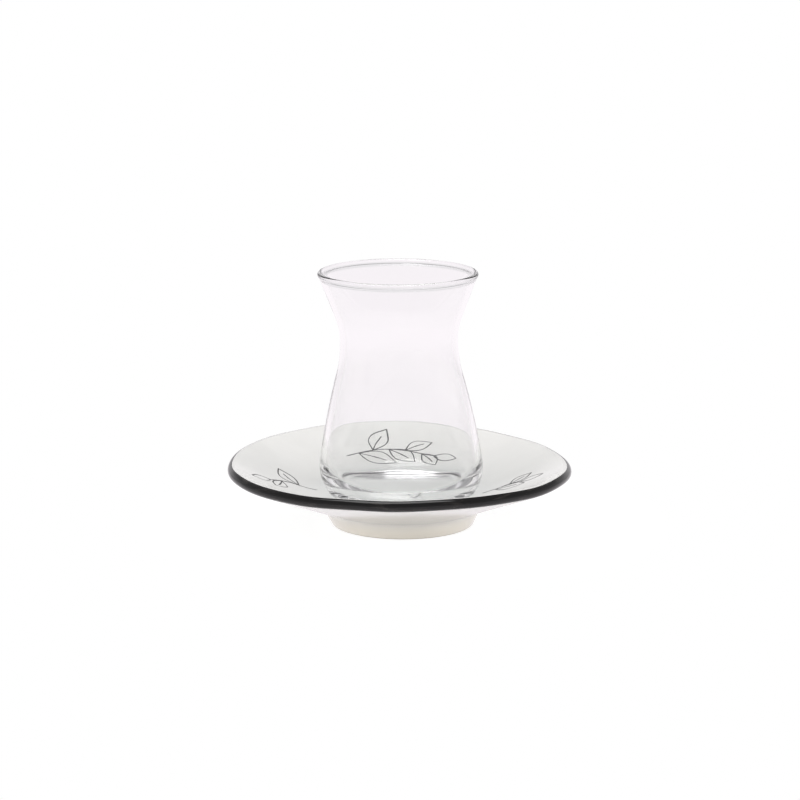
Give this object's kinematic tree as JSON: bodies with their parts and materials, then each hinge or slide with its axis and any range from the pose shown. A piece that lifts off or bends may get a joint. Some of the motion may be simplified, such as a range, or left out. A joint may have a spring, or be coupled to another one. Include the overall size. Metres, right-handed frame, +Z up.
{
  "type": "turkish tea glass",
  "caption": "Clear tulip-shaped tea glass with a narrow waist and flared mouth, standing on a white glazed ceramic saucer with a black rim and a tall hollow foot.",
  "frame": {"origin": "centre of the underside of the saucer's foot, on the surface it stands on", "axes": "+Z up along the turning axis of the glass and the saucer; X and Y are level and interchangeable"},
  "size_m": [0.1382, 0.1382, 0.102],
  "materials": {
    "clear_glass": "clear, polished",
    "white_glaze": "glossy white glaze with a black painted rim"
  },
  "bodies": {
    "root": {"tea_glass": "clear_glass", "saucer": "white_glaze"}
  },
  "joints": []
}
